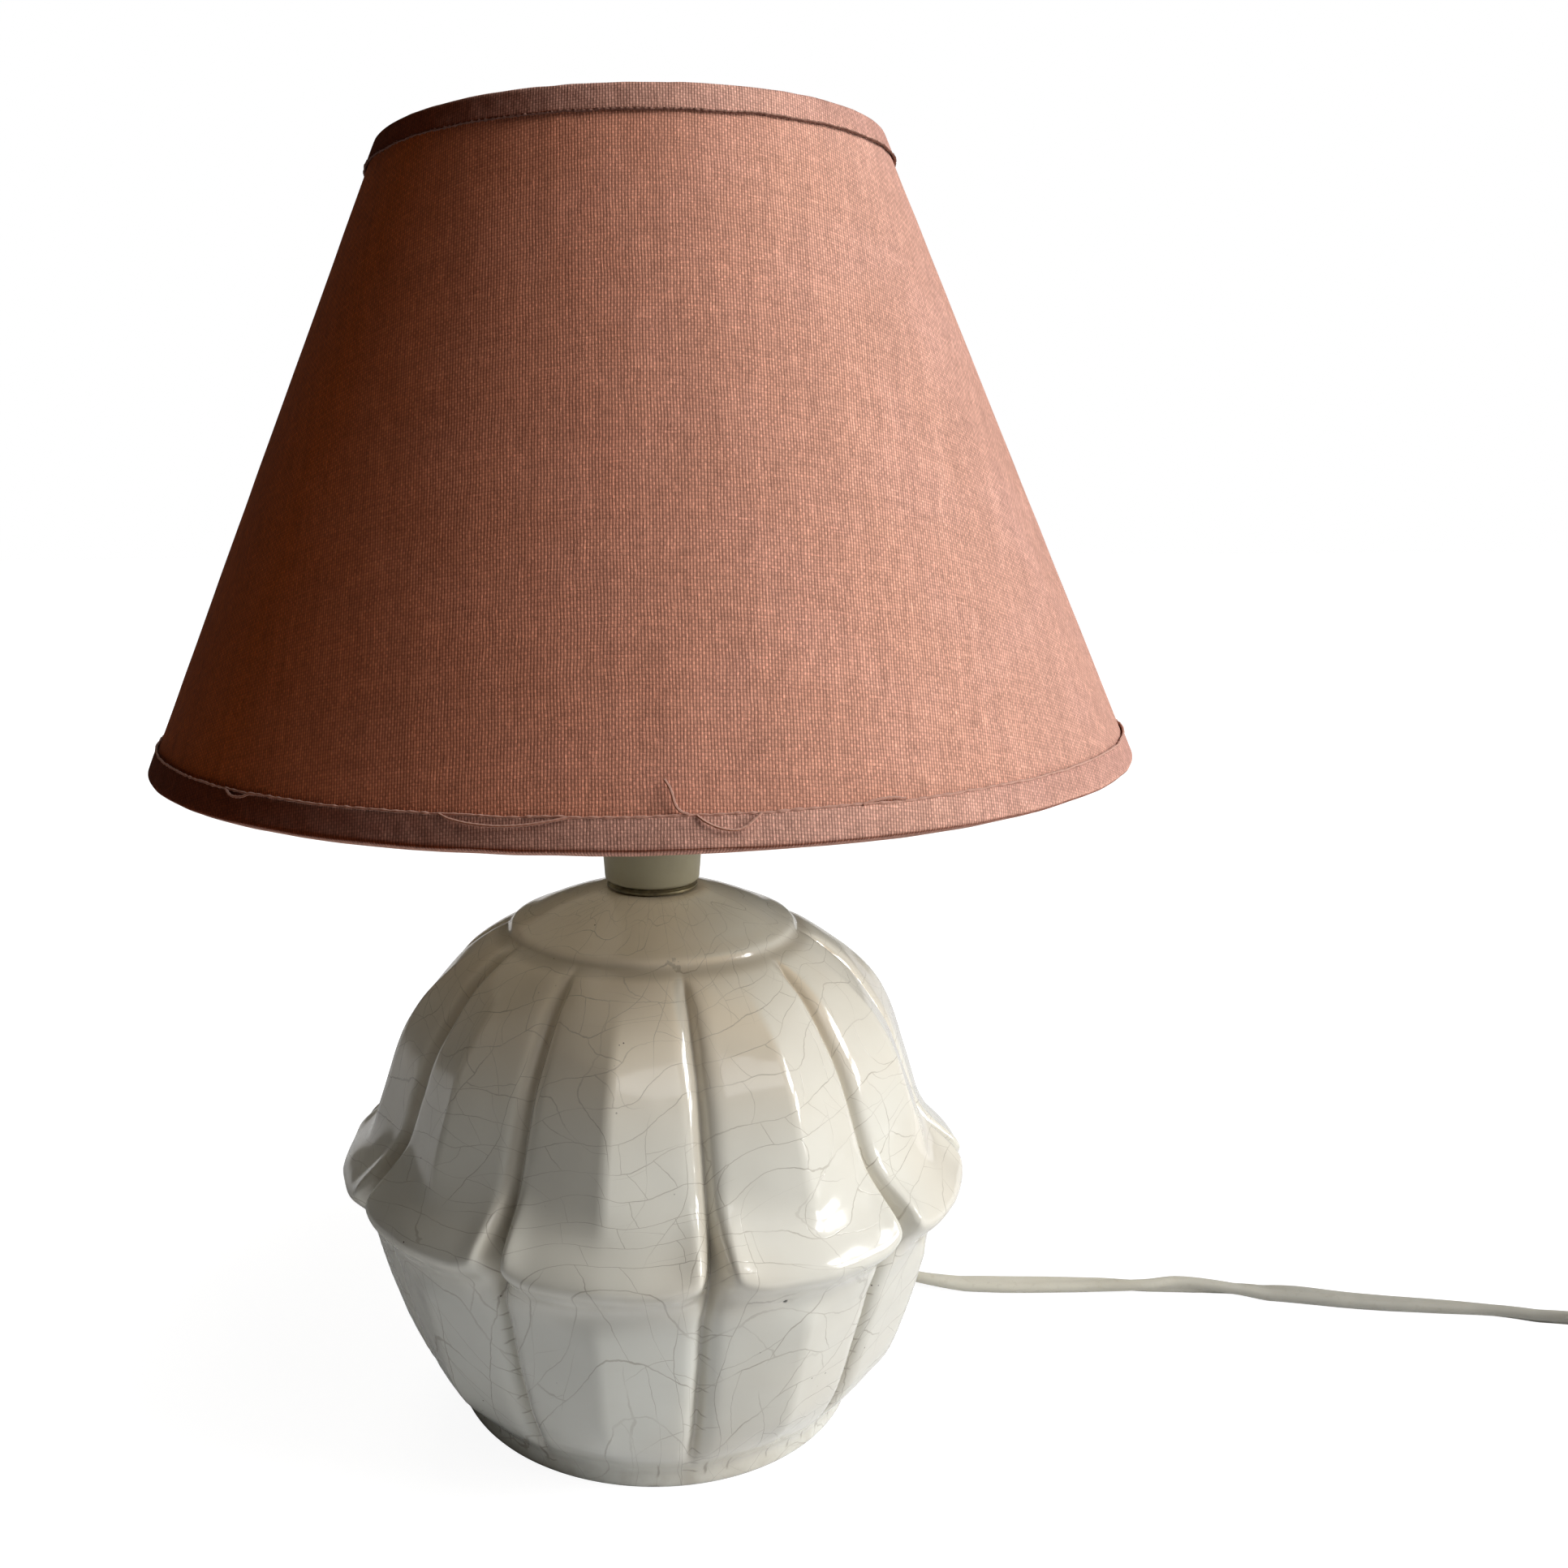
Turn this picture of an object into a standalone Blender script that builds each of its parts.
"""Small ceramic table lamp with a tapered fabric shade, its flex, in-line switch and plug.

Frame: origin at the centre of the foot, on the table; +Z up, -Y is the side that faces the viewer,
+X is the side the flex leaves towards.  Metres in the file, millimetres in the constants below.
"""

import math
from bisect import bisect_right

import bmesh
import bpy
import numpy as np
from mathutils import Matrix, Vector

MM = 0.001
ALONG_X = (0, math.radians(90), 0)     # rotations that lay a Z-axis piece along another axis
ALONG_Y = (math.radians(90), 0, 0)

# ---------------------------------------------------------------- driving dimensions, millimetres
GAP = 0.3                      # clearance between neighbouring pieces
TABLE_GAP = 0.05               # least height of the flex above the table

# ceramic body
LOBES = 10                     # petals round the body
LOBE_PHASE = math.radians(10)  # azimuth of the reference groove, from the front towards +X
FOOT_REBATE_R, FOOT_REBATE_Z = 50.6, 3.6
NIPPLE_HOLE_R = 5.4
PLATE_UNDER_Z = 144            # underside of the top plate, inside the body
CORD_HOLE_AZ = math.radians(154)       # azimuth of the rear flex hole
CORD_HOLE_Z = 14.0
CORD_HOLE_R = 5.0
BODY_PROFILE = [               # (height, radius) of the turned form under the petals
    (0, 57.2), (1, 57.9), (5, 58.2), (8, 60.2), (12, 63.8), (17, 67.6), (24, 71.4), (36, 75.6),
    (48, 79), (56, 80.8), (62, 81.2), (68, 81), (74, 80.2), (80, 79), (86, 77.4), (92, 75.6),
    (98, 73.6), (110, 69.4), (120, 63.4), (128, 56.2), (132.6, 50.2), (134.8, 46.7), (136, 44.2),
    (136.8, 42.2), (137.5, 41.1), (138.5, 40.5), (139.5, 39.8), (140.4, 38), (141.4, 35.4),
    (143.2, 31.4), (145.8, 24.6), (147.6, 18.6), (148.6, 14.4), (148.8, NIPPLE_HOLE_R)]
CAVITY_PROFILE = [             # (radius, height) of the hollow, from the foot up to the top plate
    (FOOT_REBATE_R, 0), (FOOT_REBATE_R, FOOT_REBATE_Z), (48.0, FOOT_REBATE_Z), (56, 12), (66, 32),
    (72.3, 60), (71.6, 76), (65.2, 98), (53, 119), (32, 135.5), (14, PLATE_UNDER_Z),
    (NIPPLE_HOLE_R, PLATE_UNDER_Z)]
BODY_TOP_Z = BODY_PROFILE[-1][0]

# neck and E14 lampholder
NIPPLE_R, NIPPLE_BORE_R = 5.0, 4.0
ON_NIPPLE_R = NIPPLE_R + GAP   # bore of the pieces threaded over the nipple
COLLAR_R, COLLAR_H = 12.8, 1.5
COLLAR_Z0 = BODY_TOP_Z + GAP
CAP_Z0, CAP_Z1 = COLLAR_Z0 + COLLAR_H + GAP, 177.0
CAP_R = 14.5                   # widest radius of the cap
SKIRT_TOP_Z = 211.2
SKIRT_THREAD_R = 13.6
SHADE_SEAT_Z = 201.8           # top of the flange the shade carrier rests on

# shade
SHADE_BOTTOM_R, SHADE_BOTTOM_Z = 130.2, 190.4
SHADE_TOP_R, SHADE_TOP_Z = 65.0, 345.0
SHADE_LEAN = math.radians(-0.66)       # turn about Y; the shade leans to -X
SHADE_OFFSET_X = -3.3          # and hangs this much to -X, because the carrier's wires are bent
SHADE_LEAN_Z = 215.0           # height of the point it leans about
WIRE_R = 1.2

# bulb, 45 mm round, E14
BULB_R, BULB_CENTRE_Z = 22.5, 239.0
BULB_AXIS_Z = 200

# flex, flat twin
FLEX_HALF_W, FLEX_HALF_T = 3.0, 1.75
FLEX_START_Z = 156.8           # upper end of the flex, inside the nipple

# in-line switch: plan centre; its length runs along Y
SWITCH_X, SWITCH_Y = 303.0, -48.0
SWITCH_L, SWITCH_W, SWITCH_H = 62.0, 27.0, 17.0
SWITCH_SPLIT = 8.3             # top of the lower half of the case
SWITCH_FLEX_Z = SWITCH_SPLIT + GAP / 2

# plug: plan centre of its pin face; its flex end points along -Y
PLUG_X, PLUG_Y = 275.0, -109.0
PLUG_HALF_T = 6.85
PLUG_Z = PLUG_HALF_T + 0.1
PIN_R, PIN_L, PIN_SPACING = 2.0, 19.0, 18.6

# ---------------------------------------------------------------- scene
for old in list(bpy.data.objects):
    bpy.data.objects.remove(old, do_unlink=True)

LAMP = bpy.data.collections.new("table_lamp")
CUTTERS = bpy.data.collections.new("cutters")
bpy.context.scene.collection.children.link(LAMP)
bpy.context.scene.collection.children.link(CUTTERS)


# ---------------------------------------------------------------- helpers
def scaled(point):
    """A point in millimetres as a tuple in metres."""
    return tuple(value * MM for value in point)


def put(obj, material, parent=None):
    """Files an object with the lamp, or as a hidden cutter if it has no material."""
    for collection in list(obj.users_collection):
        collection.objects.unlink(obj)
    if material:
        LAMP.objects.link(obj)
        obj.data.materials.append(material)
    else:
        CUTTERS.objects.link(obj)
        obj.hide_render = True
        obj.display_type = "WIRE"
    if parent:
        obj.parent = parent
    return obj


def empty(name, loc, rot=(0, 0, 0)):
    axis = bpy.data.objects.new(name, None)
    axis.location = scaled(loc)
    axis.rotation_euler = rot
    LAMP.objects.link(axis)
    return axis


def turned(name, points, material, segs, loc=(0, 0, 0), rot=(0, 0, 0), parent=None, closed=True):
    """A lathe piece: (radius, height) points turned about Z with a Screw modifier.

    A closed loop is put in the order that runs down its outer side; an open one starts on the
    axis at its upper end."""
    if closed:
        pairs = zip(points, points[1:] + points[:1])
        if sum(a[0] * b[1] - b[0] * a[1] for a, b in pairs) > 0:
            points = points[::-1]
    count = len(points)
    edges = [(i, i + 1) for i in range(count - 1)] + ([(count - 1, 0)] if closed else [])
    mesh = bpy.data.meshes.new(name)
    mesh.from_pydata([(radius * MM, 0, z * MM) for radius, z in points], edges, [])
    obj = bpy.data.objects.new(name, mesh)
    screw = obj.modifiers.new("turn", "SCREW")
    screw.axis = "Z"
    screw.angle = 2 * math.pi
    screw.steps = screw.render_steps = segs
    screw.use_merge_vertices = True
    screw.merge_threshold = 0.00001
    screw.use_smooth_shade = False
    obj.location = scaled(loc)
    obj.rotation_euler = rot
    return put(obj, material, parent)


def sleeve(inner_r, outer_r, z0, z1):
    """Closed lathe section of a plain tube or washer."""
    return [(inner_r, z0), (outer_r, z0), (outer_r, z1), (inner_r, z1)]


def headed(shank_r, head_r, top, shoulder, bottom):
    """Open lathe section of a screw with its head at the bottom."""
    return [(0, top), (shank_r, top), (shank_r, shoulder), (head_r, shoulder), (head_r, bottom),
            (0, bottom)]


def tidy(mesh, weld=False):
    """Turns the faces outward, after welding coincident points if asked."""
    work = bmesh.new()
    work.from_mesh(mesh)
    if weld:
        bmesh.ops.remove_doubles(work, verts=work.verts, dist=0.000001)
    bmesh.ops.recalc_face_normals(work, faces=work.faces)
    work.to_mesh(mesh)
    work.free()


def loft(name, rings, material, around=False):
    """Joins equal rings of points into one closed skin.

    around=True joins the last ring to the first; otherwise both ends are capped."""
    size, count = len(rings[0]), len(rings)
    faces = []
    for i in range(count if around else count - 1):
        here, there = i * size, ((i + 1) % count) * size
        for j in range(size):
            k = (j + 1) % size
            faces.append((here + j, here + k, there + k, there + j))
    if not around:
        faces.append(tuple(reversed(range(size))))
        faces.append(tuple((count - 1) * size + j for j in range(size)))
    mesh = bpy.data.meshes.new(name)
    mesh.from_pydata([scaled(point) for ring in rings for point in ring], [], faces)
    tidy(mesh)
    return put(bpy.data.objects.new(name, mesh), material)


def new_curve(name, points, dimensions):
    """A poly curve through 3D points; returns the curve and its spline."""
    curve = bpy.data.curves.new(name, "CURVE")
    curve.dimensions = dimensions
    spline = curve.splines.new("POLY")
    spline.points.add(len(points) - 1)
    for knot, point in zip(spline.points, points):
        knot.co = (*scaled(point), 1.0)
    return curve, spline


def curve_object(name, curve, material, parent=None):
    """Makes a curve into a mesh object with its caps welded on."""
    path = bpy.data.objects.new(curve.name, curve)
    bpy.context.scene.collection.objects.link(path)
    bpy.context.view_layer.update()
    depsgraph = bpy.context.evaluated_depsgraph_get()
    mesh = bpy.data.meshes.new_from_object(path.evaluated_get(depsgraph))
    bpy.data.objects.remove(path, do_unlink=True)
    tidy(mesh, weld=True)
    mesh.name = name
    return put(bpy.data.objects.new(name, mesh), material, parent)


def tube(name, points, radius, material, res=1, parent=None):
    """A round wire along a path."""
    curve, _ = new_curve(name + "_path", points, "3D")
    curve.bevel_depth = radius * MM
    curve.bevel_resolution = res
    curve.use_fill_caps = True
    return curve_object(name, curve, material, parent)


def block(name, size, centre, material=None, bevel=0.0, parent=None):
    """A box at true size, with its edges chamfered by a Bevel modifier."""
    bpy.ops.mesh.primitive_cube_add(size=1.0)
    obj = bpy.context.object
    obj.name = name
    for vert in obj.data.vertices:
        vert.co = Vector([unit * length for unit, length in zip(vert.co, size)]) * MM
    obj.location = scaled(centre)
    if bevel:
        rounding = obj.modifiers.new("round", "BEVEL")
        rounding.width = bevel * MM
        rounding.segments = 1
    return put(obj, material, parent)


def rod(name, radius, length, centre, segs, material=None, rot=(0, 0, 0)):
    bpy.ops.mesh.primitive_cylinder_add(vertices=segs, radius=radius * MM, depth=length * MM,
                                        end_fill_type="NGON")
    obj = bpy.context.object
    obj.name = name
    obj.location = scaled(centre)
    obj.rotation_euler = rot
    return put(obj, material)


def cut(target, cutter):
    boolean = target.modifiers.new("cut_" + cutter.name, "BOOLEAN")
    boolean.operation = "DIFFERENCE"
    boolean.object = cutter


# ---------------------------------------------------------------- materials
def make_material(name, rgb, roughness, metallic=0.0, alpha=1.0):
    material = bpy.data.materials.new(name)
    material.use_nodes = True
    shader = material.node_tree.nodes["Principled BSDF"]
    shader.inputs["Base Color"].default_value = (*rgb, 1.0)
    shader.inputs["Roughness"].default_value = roughness
    shader.inputs["Metallic"].default_value = metallic
    shader.inputs["Alpha"].default_value = alpha
    material.diffuse_color = (*rgb, alpha)
    return material


CERAMIC = make_material("glazed_ceramic", rgb=(0.80, 0.78, 0.72), roughness=0.12)
BRASS = make_material("aged_brass", rgb=(0.33, 0.27, 0.16), roughness=0.45, metallic=0.9)
STEEL = make_material("zinc_steel", rgb=(0.62, 0.62, 0.60), roughness=0.35, metallic=1.0)
CREAM = make_material("cream_plastic", rgb=(0.78, 0.76, 0.68), roughness=0.4)
WHITE = make_material("white_plastic", rgb=(0.85, 0.85, 0.82), roughness=0.4)
FABRIC = make_material("shade_fabric", rgb=(0.56, 0.27, 0.20), roughness=0.85)
TRIM = make_material("trim_fabric", rgb=(0.58, 0.29, 0.23), roughness=0.85)
LINER = make_material("shade_liner", rgb=(0.88, 0.86, 0.80), roughness=0.6)
PAINTED = make_material("painted_wire", rgb=(0.86, 0.85, 0.80), roughness=0.4)
GLASS = make_material("bulb_glass", rgb=(0.95, 0.95, 0.93), roughness=0.05, alpha=0.35)
TUNGSTEN = make_material("tungsten", rgb=(0.25, 0.24, 0.24), roughness=0.4, metallic=1.0)
BLACK = make_material("black_glass", rgb=(0.02, 0.02, 0.02), roughness=0.25)
FELT = make_material("brown_felt", rgb=(0.20, 0.13, 0.08), roughness=0.95)
RUBBER = make_material("grey_rubber", rgb=(0.12, 0.12, 0.12), roughness=0.8)
FLEX = make_material("flex_sheath", rgb=(0.80, 0.78, 0.70), roughness=0.45)
BROWN = make_material("brown_core", rgb=(0.25, 0.12, 0.06), roughness=0.5)
BLUE = make_material("blue_core", rgb=(0.10, 0.20, 0.42), roughness=0.5)

# ---------------------------------------------------------------- ceramic body
HEM_OUT = 8.4                  # how far the petal hem stands out
HEM_Z = 70.0                   # height of the hem
HEM_TILT = 2.6                 # the hem sits this much higher at the front than at the side
HEM_RISE, HEM_RISE_W = 4.0, 6.0        # the hem rises this much at a groove, over this width
HEM_ABOVE = (8.0, 1.8)         # (reach, exponent) of the hem's fall-off upward
HEM_BELOW = (6.6, 1.9)         # and downward
HEM_NOTCH = (0.6, 5.5)         # (offset, width) over which the hem grows away from a groove
GROOVE_DEPTH = 3.6
GROOVE_BAND = (5, 18, 131, 138)        # heights between which the grooves fade in and out
GROOVE_WIDTHS = (2.7, 1.15)    # the groove is half a wide valley, half a narrow one
RIDGES = [                     # (height of ridge over groove, heights of its fade in and out)
    (2.7, (8, 24, 52, 60)), (3.9, (75, 88, 118, 135)), (0.5, (58, 66, 72, 80))]
WANDER = math.radians(1.5)     # hand-made spread of the front grooves
WANDER_LIMIT, WANDER_WAVE = math.radians(72), 2.5      # its reach, and its waves per turn
LOWER_SHIFT = math.radians(1.2)        # the lower petals are turned back by this much
LOWER_SHIFT_Z, LOWER_SHIFT_FADE = 55, 14       # up to this height, fading over this length
TILT_BAND = (20, 60, 85, 125)  # heights between which the tilt fades in and out
LOBE_STEPS = (0.0, 0.055, 0.16, 0.5, 0.84, 0.945)      # ring points, as fractions of a lobe
RING_Z = [0, 5, 8, 13, 22, 38, 54, 62, 66, 70, 74, 80, 89, 102, 115, 126, 132.6, 136, 137.4,
          139.6, 141.4, 145.8, 148.6]


def ease(t):
    t = min(max(t, 0.0), 1.0)
    return t * t * (3 - 2 * t)


def hill(z, rise, full, fall, end):
    """0 below rise, 1 between full and fall, 0 above end."""
    return ease((z - rise) / (full - rise)) * (1 - ease((z - fall) / (end - fall)))


def bell(x, width):
    return math.exp(-((x / width) ** 2))


def profile_radius(z):
    """Radius of the turned form at height z: a monotone cubic through BODY_PROFILE."""
    heights, radii = zip(*BODY_PROFILE)
    last = len(heights) - 1
    slopes = [(radii[i + 1] - radii[i]) / (heights[i + 1] - heights[i]) for i in range(last)]
    tangents = [slopes[0]]
    for below, above in zip(slopes, slopes[1:]):
        turns = below * above <= 0
        tangents.append(0.0 if turns else 2 * below * above / (below + above))
    tangents.append(slopes[-1])
    i = min(last - 1, bisect_right(heights, z) - 1)
    span = heights[i + 1] - heights[i]
    t = (z - heights[i]) / span
    return ((2 * t**3 - 3 * t**2 + 1) * radii[i] + (t**3 - 2 * t**2 + t) * span * tangents[i]
            + (-2 * t**3 + 3 * t**2) * radii[i + 1] + (t**3 - t**2) * span * tangents[i + 1])


def polar(radius, azimuth, z):
    """A point at an azimuth measured from the front (-Y) towards +X."""
    return (radius * math.sin(azimuth), -radius * math.cos(azimuth), z)


def petal_point(angle, z):
    """A point of the glazed surface, at an angle from the reference groove before any wander."""
    base = profile_radius(z)
    lobe = 2 * math.pi / LOBES
    across_lobe = abs(angle / lobe - round(angle / lobe))      # 0 in a groove, 0.5 on a ridge
    from_groove = across_lobe * lobe * base                    # arc length

    above_hem = z - (HEM_Z + HEM_RISE * bell(from_groove, HEM_RISE_W))
    reach, power = HEM_ABOVE if above_hem > 0 else HEM_BELOW
    flare = math.exp(-((abs(above_hem) / reach) ** power))
    hem = HEM_OUT * flare * ease((from_groove + HEM_NOTCH[0]) / HEM_NOTCH[1])

    valley = sum(0.5 * bell(from_groove, width) for width in GROOVE_WIDTHS)
    groove = GROOVE_DEPTH * hill(z, *GROOVE_BAND) * valley
    ridge = sum(height * hill(z, *band) for height, band in RIDGES)
    radius = base + hem + ridge * ((2 * across_lobe) ** 2.0 - 0.5) - groove

    azimuth = LOBE_PHASE + angle
    if abs(angle) < WANDER_LIMIT:
        azimuth += WANDER * math.sin(WANDER_WAVE * angle)
    azimuth -= LOWER_SHIFT * (1 - ease((z - LOWER_SHIFT_Z) / LOWER_SHIFT_FADE))
    lift = HEM_TILT * math.cos(azimuth) * hill(z, *TILT_BAND)
    return polar(radius, azimuth, z + lift)


angles = [((k + step) / LOBES) * 2 * math.pi - math.pi for k in range(LOBES) for step in LOBE_STEPS]
body_rings = [[petal_point(angle, z) for angle in angles] for z in RING_Z]
for ring_radius, ring_height in [(NIPPLE_HOLE_R, BODY_TOP_Z)] + CAVITY_PROFILE[::-1]:
    body_rings.append([polar(ring_radius, LOBE_PHASE + angle, ring_height) for angle in angles])
ceramic = loft("ceramic_body", body_rings, CERAMIC, around=True)

OUT = Vector(polar(1, CORD_HOLE_AZ, 0))        # direction in which the flex leaves the body
HOLE_ROT = (math.radians(90), 0, CORD_HOLE_AZ)  # turns +Z to OUT


def on_hole_axis(distance):
    return OUT * distance + Vector((0, 0, CORD_HOLE_Z))


cut(ceramic, rod("cord_hole_cutter", CORD_HOLE_R, 24, on_hole_axis(62), segs=20, rot=HOLE_ROT))

# felt pad, glued in the rebate of the foot and flush with the rim
FELT_GAP = 0.4
felt_r, felt_z = FOOT_REBATE_R - FELT_GAP, FOOT_REBATE_Z - FELT_GAP
turned("base_felt", [(0, felt_z), (felt_r, felt_z), (felt_r, 0), (0, 0)], FELT, 32, closed=False)

# flex bushing: a tube through the rear wall, with a rim that stands clear of the sloping glaze
BUSHING_PROFILE = [            # (radius, distance outward)
    (3.9, -9), (4.7, -9), (4.7, 4.4), (6.1, 4.9), (6.1, 6.2), (5.5, 6.8), (3.9, 6.8)]
turned("cord_bushing", BUSHING_PROFILE, CREAM, 16, loc=on_hole_axis(64.6), rot=HOLE_ROT)

# ---------------------------------------------------------------- neck
collar_top = COLLAR_Z0 + COLLAR_H
turned("neck_collar", [(ON_NIPPLE_R, COLLAR_Z0), (COLLAR_R, COLLAR_Z0), (COLLAR_R, 149.9),
                       (COLLAR_R - 0.6, collar_top), (ON_NIPPLE_R, collar_top)], BRASS, 24)
turned("threaded_nipple", sleeve(NIPPLE_BORE_R, NIPPLE_R, 133, 157.5), STEEL, 20)

# washers and nut, stacked downward under the top plate
RUBBER_T, WASHER_T, NUT_T = 1.5, 1.0, 3.0
NUT_ACROSS_FLATS = 14
rubber_top = PLATE_UNDER_Z - GAP
washer_top = rubber_top - RUBBER_T - GAP
nut_centre = (0, 0, washer_top - WASHER_T - GAP - NUT_T / 2)
turned("rubber_washer", sleeve(ON_NIPPLE_R, 11, rubber_top - RUBBER_T, rubber_top), RUBBER, 18)
turned("steel_washer", sleeve(ON_NIPPLE_R, 12, washer_top - WASHER_T, washer_top), STEEL, 18)
nut = rod("nipple_nut", NUT_ACROSS_FLATS / math.sqrt(3), NUT_T, nut_centre, segs=6, material=STEEL)
cut(nut, rod("nut_bore_cutter", ON_NIPPLE_R, 8, nut_centre, segs=20))

# ---------------------------------------------------------------- lampholder, (radius, height)
CAP_PROFILE = [
    (ON_NIPPLE_R, CAP_Z0), (12.6, CAP_Z0), (13.35, 151.7), (13.95, 160), (CAP_R, 172),
    (CAP_R, CAP_Z1), (12.9, CAP_Z1), (12.9, 155), (ON_NIPPLE_R, 155)]
SKIRT_PROFILE = [
    (11, 168), (12.6, 168), (12.6, CAP_Z1 + GAP), (CAP_R, CAP_Z1 + GAP), (CAP_R, 180.5),
    (SKIRT_THREAD_R, 181.2), (SKIRT_THREAD_R, 199), (17, 199.4), (17, SHADE_SEAT_Z),
    (SKIRT_THREAD_R, SHADE_SEAT_Z), (SKIRT_THREAD_R, 210.4), (13, SKIRT_TOP_Z),
    (9.2, SKIRT_TOP_Z), (9.2, 208.8), (11, 206.5)]
INSERT_Z = 163                 # underside of the insert
INSERT_PROFILE = [
    (0, 180), (8.25, 180), (8.25, 204), (10.6, 204), (10.6, INSERT_Z), (0, INSERT_Z)]
SET_SCREW_R, SET_SCREW_Z = 1.25, 153
TERMINAL_X, TERMINAL_R = 5.8, 1.2
CONDUCTOR_PATH = [             # (x, z) of the live core; the neutral one mirrors it in x
    (1.4, FLEX_START_Z + GAP), (1.8, 158.5), (3.6, 159.1), (7.2, 159.1)]

cap = turned("holder_cap", CAP_PROFILE, CREAM, 24)
cut(cap, rod("set_screw_cutter", SET_SCREW_R + GAP, 16, (0, 10, SET_SCREW_Z), segs=12, rot=ALONG_Y))
rod("holder_set_screw", SET_SCREW_R, 7.4, (0, 9.3, SET_SCREW_Z), segs=12, material=STEEL,
    rot=ALONG_Y)

turned("holder_skirt", SKIRT_PROFILE, CREAM, 24)
insert = turned("holder_insert", INSERT_PROFILE, WHITE, 24, closed=False)
terminal_profile = headed(TERMINAL_R, 2.6, top=166.5, shoulder=INSERT_Z - GAP, bottom=160.2)
for label, side, core in (("live", 1, BROWN), ("neutral", -1, BLUE)):
    x = side * TERMINAL_X
    cut(insert, rod("terminal_cutter_" + label, TERMINAL_R + GAP, 8, (x, 0, INSERT_Z), segs=12))
    turned("terminal_screw_" + label, terminal_profile, STEEL, 12, loc=(x, 0, 0), closed=False)
    tube("conductor_" + label, [(side * x, 0, z) for x, z in CONDUCTOR_PATH], 0.75, core)
turned("screw_shell", sleeve(7.45, 7.95, 184, 206), BRASS, 18)
block("centre_contact", (11, 4, 1.2), (0, 0, 181.2), BRASS, bevel=0.4)

# ring that clamps the shade carrier on the threaded skirt
ring_axis = empty("shade_ring_axis", (0, 0, 206))
RING_NUT_PROFILE = [           # (radius, height from the axis origin)
    (13.95, -2.1), (19, -2.1), (19, 0.2), (16.8, 0.8), (16.8, 4.2), (13.95, 4.2)]
turned("shade_ring_nut", RING_NUT_PROFILE, CREAM, 24, parent=ring_axis)

# ---------------------------------------------------------------- bulb
GLASS_BASE_Z = 211.4
GLASS_T = 0.9
NECK_R = 7.3
FILAMENT_R = 7.2
bulb_axis = empty("bulb_axis", (0, 0, BULB_AXIS_Z))


def bulb_part(name, points, material, segs, closed=False):
    """A lathe piece on the bulb's axis, from (radius, height above the table) points."""
    local = [(radius, z - BULB_AXIS_Z) for radius, z in points]
    turned(name, local, material, segs, parent=bulb_axis, closed=closed)


def bulb_outline(inset):
    """Glass outline from the neck up to the crown: a short neck that opens into the sphere."""
    radius, neck = BULB_R - inset, NECK_R - inset
    outline = [(neck, GLASS_BASE_Z), (neck + 0.3, 216.4)]
    for i in range(9):
        angle = math.radians(-68 + i * (158 / 9))
        outline.append((radius * math.cos(angle), BULB_CENTRE_Z + radius * math.sin(angle)))
    return outline + [(0.0, BULB_CENTRE_Z + radius)]


bulb_part("bulb_cap", [(6.4, 187), (6.9, 187), (6.9, 209), (8.3, 210.5), (8.3, 213), (7.8, 213),
                       (7.8, 211), (6.4, 209.5)], STEEL, 20, closed=True)
bulb_part("bulb_insulator", [(0, 186.7), (6.3, 186.7), (2.9, 184.6), (0, 184.6)], BLACK, 16)
bulb_part("bulb_tip_contact", [(0, 184.3), (2.4, 184.3), (1.4, 183.3), (0, 183.3)], STEEL, 12)
bulb_part("bulb_glass", bulb_outline(0.0)[::-1] + bulb_outline(GLASS_T), GLASS, 20)
bulb_part("bulb_stem", [(0, 228), (1.6, 227.4), (2.0, 222), (3.2, 216), (5.2, 212),
                        (5.2, GLASS_BASE_Z), (0, GLASS_BASE_Z)], GLASS, 12)

# wires, with heights from the bulb's axis origin
for label, side in (("a", 1), ("b", -1)):
    tube("lead_wire_" + label, [(0.9 * side, 0, 28.4), (2.6 * side, 0, 34), (7.6 * side, 0, 39.4)],
         0.3, STEEL, parent=bulb_axis)
# a half circle towards +Y that zigzags in height
tube("filament", [(FILAMENT_R * math.cos(math.pi * i / 12), FILAMENT_R * math.sin(math.pi * i / 12),
                   40.2 + 0.8 * (i % 2)) for i in range(13)],
     0.22, TUNGSTEN, res=0, parent=bulb_axis)

# ---------------------------------------------------------------- shade
CLOTH_EDGE = 0.8               # fabric and liner stop this far short of the edges
TRIM_SLANT = 6.8               # width of the bound edges along the slope
TRIM_SECTION = [               # (outward from the slope line, along it from the near edge)
    (0.15, TRIM_SLANT), (0.15, 0), (-4.3, 0), (-4.3, 0.4), (-0.2, 0.4), (-0.2, TRIM_SLANT)]
RING_INSET, RING_EDGE = 2.1, 0.8       # from the slope line and the edge to the wire ring

hang = empty("shade_hang", (SHADE_OFFSET_X, 0, SHADE_LEAN_Z), (0, SHADE_LEAN, 0))
BOTTOM_EDGE = Vector((SHADE_BOTTOM_R, SHADE_BOTTOM_Z))
TOP_EDGE = Vector((SHADE_TOP_R, SHADE_TOP_Z))
UP_SLOPE = (TOP_EDGE - BOTTOM_EDGE) / (TOP_EDGE - BOTTOM_EDGE).length
OFF_SLOPE = Vector((UP_SLOPE.y, -UP_SLOPE.x))


def on_slope(outward, along, top=False):
    """(radius, height) in the hanging frame: along runs up from the bottom edge, or down from
    the top one."""
    start = TOP_EDGE - UP_SLOPE * along if top else BOTTOM_EDGE + UP_SLOPE * along
    point = start + OFF_SLOPE * outward
    return (point.x, point.y - SHADE_LEAN_Z)


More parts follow.
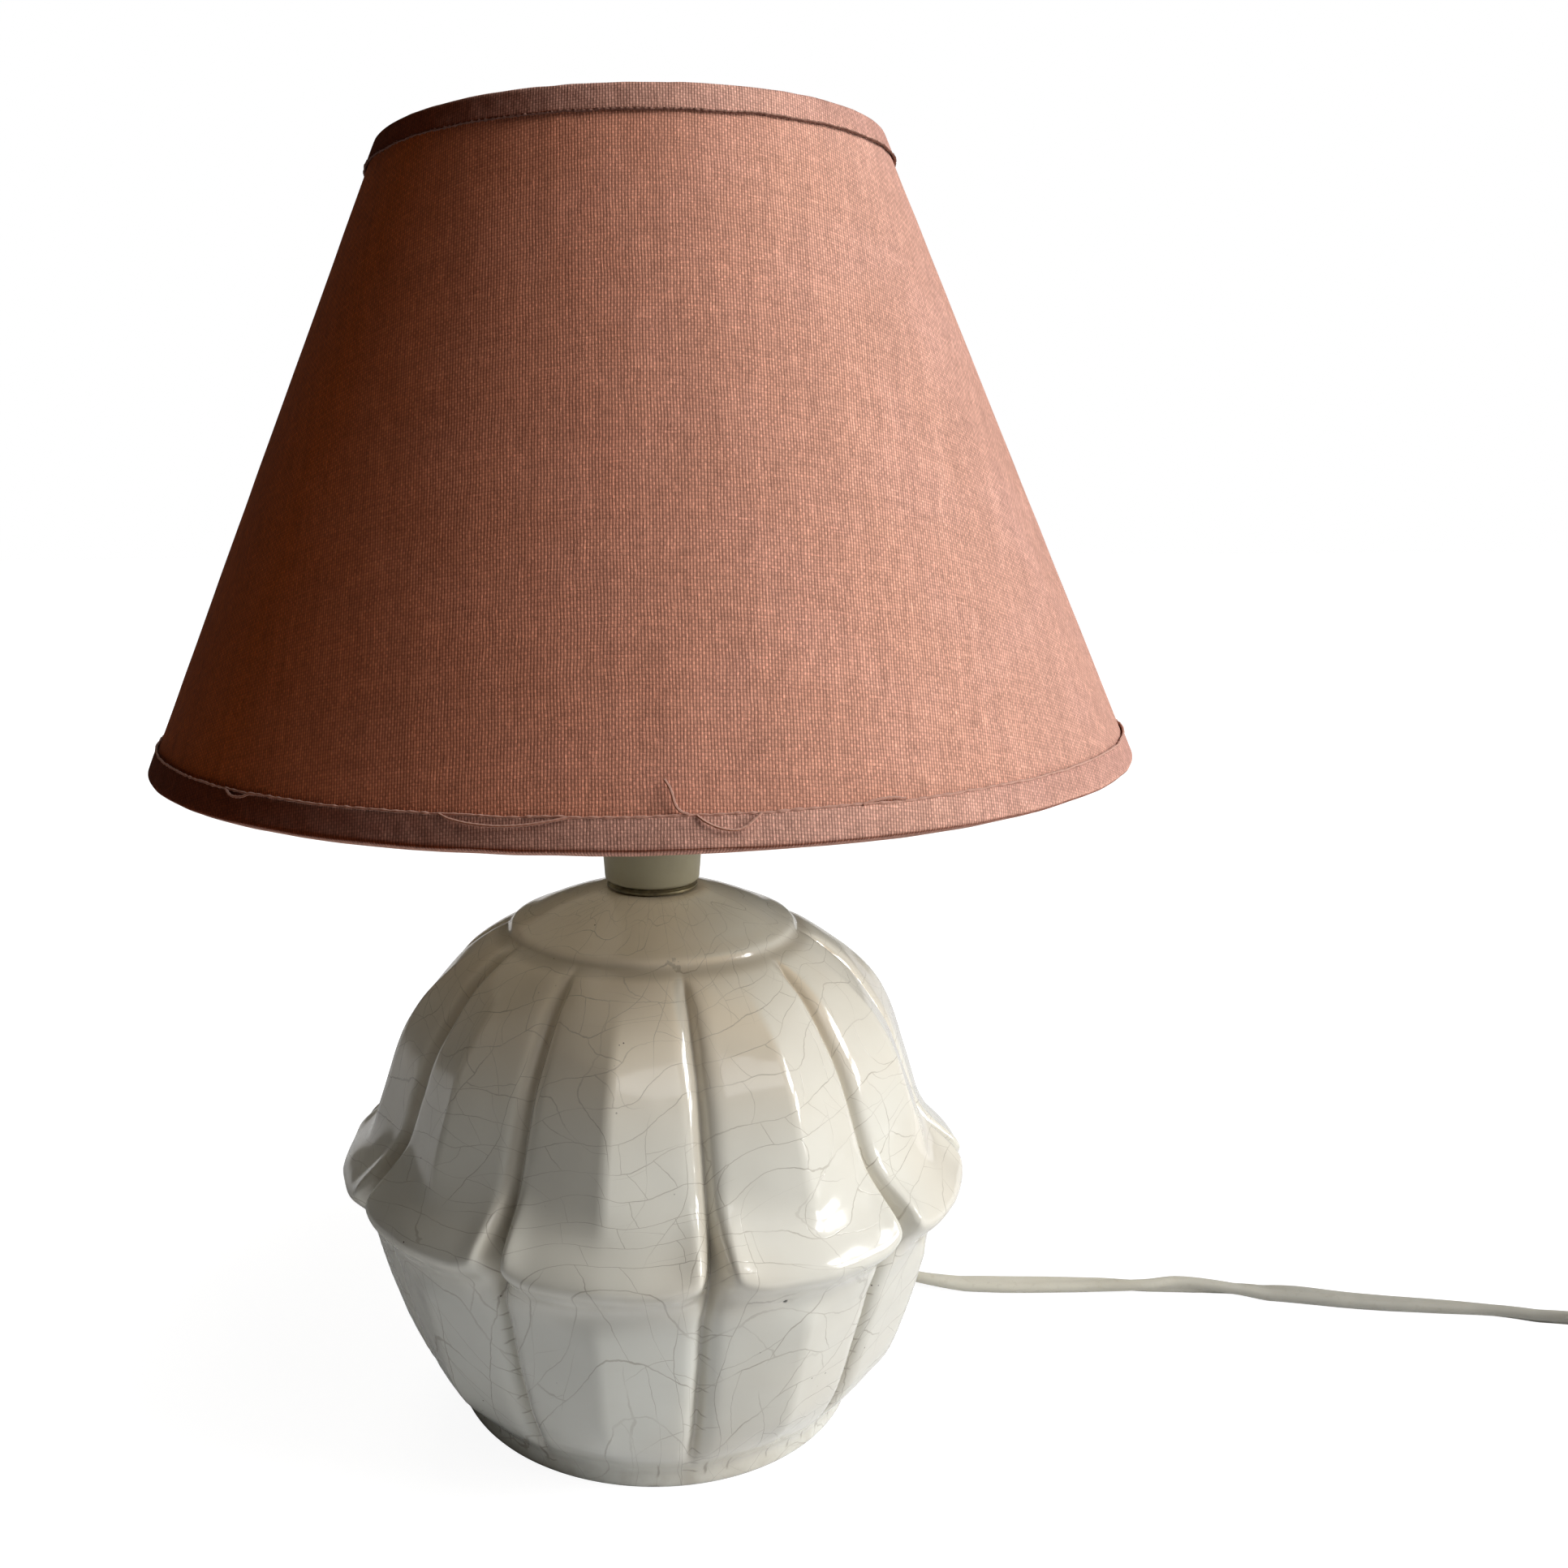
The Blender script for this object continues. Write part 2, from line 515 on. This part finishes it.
def shade_cloth(name, inner, outer, material):
    section = [on_slope(inner, CLOTH_EDGE), on_slope(outer, CLOTH_EDGE),
               on_slope(outer, CLOTH_EDGE, top=True), on_slope(inner, CLOTH_EDGE, top=True)]
    turned(name, section, material, 48, parent=hang)


def wire_ring(name, top):
    """A wire ring just inside an edge of the shade; returns its (radius, height)."""
    radius, z = on_slope(-RING_INSET - WIRE_R, RING_EDGE + WIRE_R, top)
    bpy.ops.mesh.primitive_torus_add(major_radius=radius * MM, minor_radius=WIRE_R * MM,
                                     major_segments=48, minor_segments=5)
    ring = bpy.context.object
    ring.name = name
    ring.location = (0, 0, z * MM)
    put(ring, PAINTED, hang)
    return radius, z


shade_cloth("shade_fabric", -1.0, -0.5, FABRIC)
shade_cloth("shade_liner", -1.75, -1.35, LINER)
for edge, is_top in (("bottom", False), ("top", True)):
    trim = [on_slope(outward, along, is_top) for outward, along in TRIM_SECTION]
    turned(edge + "_trim", trim, TRIM, 48, parent=hang)
bottom_ring = wire_ring("bottom_ring", top=False)
wire_ring("top_ring", top=True)

# ---------------------------------------------------------------- shade carrier
GIMBAL_R, GIMBAL_T = 19.4, 1.5         # outer radius and thickness of the centre ring
ARM_GAP = 0.35                 # from the end of an arm's centre line to the ring it meets
ARM_BEND_R = 20                # radius at which the arms start to drift towards the shade's offset
ARM_STATIONS = ((90, 195.0), (45, 200.6), (28, 202.5))         # (radius, height)

carrier_z = SHADE_SEAT_Z + GAP
carrier_axis = empty("shade_carrier_axis", (0, 0, carrier_z))
turned("gimbal_ring", sleeve(14.2, GIMBAL_R, 0, GIMBAL_T), PAINTED, 24, parent=carrier_axis)
hang_matrix = (Matrix.Translation(Vector((SHADE_OFFSET_X, 0, SHADE_LEAN_Z)))
               @ Matrix.Rotation(SHADE_LEAN, 4, "Y"))


def gimbal_arm(name, azimuth):
    """An arm from the shade's bottom ring to the centre ring; azimuth is from +X towards +Y."""
    ring_r, ring_z = bottom_ring

    def spoke(radius, z):
        return Vector((radius * math.cos(azimuth), radius * math.sin(azimuth), z))

    path = [hang_matrix @ spoke(ring_r - WIRE_R - ARM_GAP, ring_z),
            hang_matrix @ spoke(ring_r - 9, ring_z + 0.6)]
    for radius, z in ARM_STATIONS:
        drift = SHADE_OFFSET_X * (radius - ARM_BEND_R) / (ring_r - ARM_BEND_R)
        path.append(spoke(radius, z) + Vector((drift, 0, 0)))
    path.append(spoke(GIMBAL_R + ARM_GAP, carrier_z + GIMBAL_T / 2))
    tube(name, path, WIRE_R - 0.05, PAINTED)


for label, degrees in (("a", 90), ("b", 210), ("c", 330)):
    gimbal_arm("gimbal_arm_" + label, math.radians(degrees))

# ---------------------------------------------------------------- flex
FLEX_STEP = 11.5               # spacing of the sections along the flex
FLEX_SIDES = 8
LYING_Z = FLEX_HALF_T + TABLE_GAP      # centre height where the flex lies flat on the table
SWITCH_FLEX_END = 24.5         # from the switch's centre to the ends of the flex inside it


def catmull(points, step):
    """Evenly spaced points on a Catmull-Rom curve (each x, y, z, twist in degrees)."""
    points = [np.array(point, float) for point in points]
    points = [2 * points[0] - points[1]] + points + [2 * points[-1] - points[-2]]
    path = []
    for i in range(1, len(points) - 2):
        before, start, end, after = points[i - 1: i + 3]
        count = max(1, round(np.linalg.norm((end - start)[:3]) / step))
        for k in range(count):
            t = k / count
            path.append(0.5 * (2 * start + (end - before) * t
                               + (2 * before - 5 * start + 4 * end - after) * t * t
                               + (3 * start - before - 3 * end + after) * t**3))
    path.append(points[-2])
    return path


def flex(name, points, side):
    """Flat twin flex swept along a path; side is the direction of its wide axis at the start."""
    path = catmull(points, FLEX_STEP)
    centres = [Vector(point[:3]) for point in path]
    level = Vector(side).normalized()
    rings = []
    for i, centre in enumerate(centres):
        ahead = (centres[min(i + 1, len(centres) - 1)] - centres[max(i - 1, 0)]).normalized()
        level = (level - ahead * level.dot(ahead)).normalized()
        twist = math.radians(path[i][3])
        wide = level * math.cos(twist) + ahead.cross(level) * math.sin(twist)
        thin = ahead.cross(wide)
        ring = []
        for k in range(FLEX_SIDES):
            angle = 2 * math.pi * k / FLEX_SIDES
            ring.append(centre + wide * (FLEX_HALF_W * math.cos(angle))
                        + thin * (FLEX_HALF_T * math.sin(angle)))
        # a twisted section is raised until it clears the table
        lift = max(0.0, TABLE_GAP - min(point.z for point in ring))
        rings.append([tuple(point + Vector((0, 0, lift))) for point in ring])
    loft(name, rings, FLEX)


INSIDE_BODY = [                # (distance along OUT, height), from the nipple to the bushing
    (0, FLEX_START_Z), (0, 140), (0.5, 128), (14, 90), (34, 40), (52, 15),
    (60, CORD_HOLE_Z - 0.5), (68, CORD_HOLE_Z - 0.3)]
BODY_TO_SWITCH = [             # (x, y, z, twist in degrees)
    (37, 73.5, 8.0, 0), (50, 70.5, 2.6, 10), (68, 56.0, LYING_Z, 20), (87, 43.4, LYING_Z, 15),
    (111, 38.8, LYING_Z, 55), (141, 38.6, LYING_Z, 40), (160, 36.8, LYING_Z, 5),
    (172, 36.6, LYING_Z, -25), (189, 34.8, LYING_Z, 15), (206, 31.6, LYING_Z, 60),
    (223, 28.2, LYING_Z, 50), (247, 24.6, LYING_Z, 35), (270, 20, LYING_Z, 10),
    (288, 12.5, 4.4, 0), (299, 1.5, 8.0, 0), (SWITCH_X, -10.5, SWITCH_FLEX_Z, 0),
    (SWITCH_X, SWITCH_Y + SWITCH_FLEX_END, SWITCH_FLEX_Z, 0)]
FROM_SWITCH = [                # (x, y from the switch's centre, z, twist in degrees)
    (0, -SWITCH_FLEX_END, SWITCH_FLEX_Z, 0), (0, -38, 8.3, 0), (1.5, -50, 4.8, 0),
    (4.5, -66, LYING_Z, 10), (7, -86, LYING_Z, 35), (5, -106, LYING_Z, 15),
    (-4, -119, LYING_Z, 0), (-16, -122, LYING_Z, -10)]
INTO_PLUG = [                  # (x, y from the plug's pin face, z, twist in degrees)
    (3, -54, 2.4, 0), (0, -42, 5.6, 0), (0, -34, PLUG_Z, 0), (0, -26.5, PLUG_Z, 0)]

flex("power_cord",
     [(distance * OUT.x, distance * OUT.y, z, 0) for distance, z in INSIDE_BODY] + BODY_TO_SWITCH,
     side=(-OUT.y, OUT.x, 0))
flex("plug_cord",
     [(SWITCH_X + x, SWITCH_Y + y, z, twist) for x, y, z, twist in FROM_SWITCH]
     + [(PLUG_X + x, PLUG_Y + y, z, twist) for x, y, z, twist in INTO_PLUG],
     side=(-1, 0, 0))

# ---------------------------------------------------------------- in-line switch
CASE_BEVEL = 2.4
CASE_SCREW_X, CASE_SCREW_Y = 8.3, 25.0         # from the centre, at two opposite corners
PIVOT_Z, PIVOT_R = 12.5, 0.95
ROCKER_TILT = math.radians(-8)
ROCKER_H, ROCKER_Z = 9.0, 0.5          # height and centre of the rocker, from its pivot
BRIDGE_T = 0.7
CONTACT_H, CONTACT_Y = 4.0, 6.6
WELL_FLOOR_Z = 2.0


def switch_block(name, size, y, z, material=None, bevel=0.0):
    """A box on the switch's long centre line, y from its centre."""
    return block(name, size, (SWITCH_X, SWITCH_Y + y, z), material, bevel)


upper_h = SWITCH_H - SWITCH_SPLIT - GAP
lower = switch_block("switch_case_lower", (SWITCH_W, SWITCH_L, SWITCH_SPLIT), 0, SWITCH_SPLIT / 2,
                     CREAM, CASE_BEVEL)
upper = switch_block("switch_case_upper", (SWITCH_W, SWITCH_L, upper_h), 0, SWITCH_H - upper_h / 2,
                     CREAM, CASE_BEVEL)
cut(lower, switch_block("switch_well_cutter", (20, 38, 12.7), 0, WELL_FLOOR_Z + 12.7 / 2))
cut(upper, switch_block("switch_roof_cutter", (20, 38, 9.3), 0, 10.35))
cut(upper, switch_block("rocker_window_cutter", (11.2, 22.4, 9), 0, 16.5))

for k, (label, side) in enumerate((("a", 1), ("b", -1))):
    corner = (SWITCH_X + side * CASE_SCREW_X, SWITCH_Y + side * CASE_SCREW_Y, 0)
    entry = switch_block(f"flex_entry_cutter_{k}", (8.2, 16, 5.2), side * 25.5, SWITCH_FLEX_Z,
                         bevel=1.5)
    hole = turned(f"case_screw_cutter_{k}", headed(1.75, 3.1, top=13.4, shoulder=3.3, bottom=-1),
                  None, 12, loc=corner, closed=False)
    for cutter in (entry, hole):
        cut(lower, cutter)
        cut(upper, cutter)
    turned(f"case_screw_{label}", headed(1.4, 2.7, top=13, shoulder=3.0, bottom=0.9), STEEL, 12,
           loc=corner, closed=False)
    switch_block(f"switch_contact_{label}", (5, 5, CONTACT_H), side * CONTACT_Y,
                 WELL_FLOOR_Z + GAP + CONTACT_H / 2, BRASS, bevel=0.6)

pivot = (SWITCH_X, SWITCH_Y, PIVOT_Z)
pivot_cutter = rod("pivot_cutter", PIVOT_R + GAP, 16.6, pivot, segs=12, rot=ALONG_X)
rod("rocker_pivot_pin", PIVOT_R, 14.8, pivot, segs=12, material=STEEL, rot=ALONG_X)
rocker_axis = empty("rocker_axis", pivot, (ROCKER_TILT, 0, 0))
rocker = block("switch_rocker", (10.4, 18.0, ROCKER_H), (0, 0, ROCKER_Z), WHITE, bevel=1.2,
               parent=rocker_axis)
cut(rocker, pivot_cutter)
block("switch_bridge", (4.0, 13.0, BRIDGE_T), (0, 0, ROCKER_Z - ROCKER_H / 2 - GAP - BRIDGE_T / 2),
      BRASS, bevel=0.2, parent=rocker_axis)

# ---------------------------------------------------------------- plug, lying flat
PLUG_HALF_OUTLINE = [          # (half width, distance from the pin face)
    (17.6, 0), (17.6, 9), (15.5, 13), (9.0, 26), (6.2, 31)]
PIN_EMBED = 9                  # length of pin inside the plug body
PIN_HOLE_GAP = 0.35

plug_axis = empty("plug_axis", (PLUG_X, PLUG_Y, PLUG_Z), (0, 0, math.pi))
plug_outline = ([(-x, y, 0) for x, y in PLUG_HALF_OUTLINE]
                + [(x, y, 0) for x, y in reversed(PLUG_HALF_OUTLINE)])
plug_curve, plug_spline = new_curve("plug_outline", plug_outline, "2D")
plug_spline.use_cyclic_u = True
plug_curve.fill_mode = "BOTH"
plug_curve.extrude = PLUG_HALF_T * MM
plug = curve_object("plug_body", plug_curve, CREAM, plug_axis)
plug_bevel = plug.modifiers.new("round", "BEVEL")
plug_bevel.width = 2.6 * MM
plug_bevel.segments = 1
plug_bevel.limit_method = "ANGLE"
plug_bevel.angle_limit = math.radians(60)

cut(plug, block("plug_flex_cutter", (8.0, 14, 5.2), (PLUG_X, PLUG_Y - 32, PLUG_Z), bevel=1.0))
pin_length = PIN_L + PIN_EMBED
for label, side in (("a", 1), ("b", -1)):
    x = PLUG_X + side * PIN_SPACING / 2
    cut(plug, rod("plug_pin_cutter_" + label, PIN_R + PIN_HOLE_GAP, 16, (x, PLUG_Y - 2, PLUG_Z),
                  segs=14, rot=ALONG_Y))
    rod("plug_pin_" + label, PIN_R, pin_length, (x, PLUG_Y + PIN_L - pin_length / 2, PLUG_Z),
        segs=14, material=STEEL, rot=ALONG_Y)
bpy.context.view_layer.update()
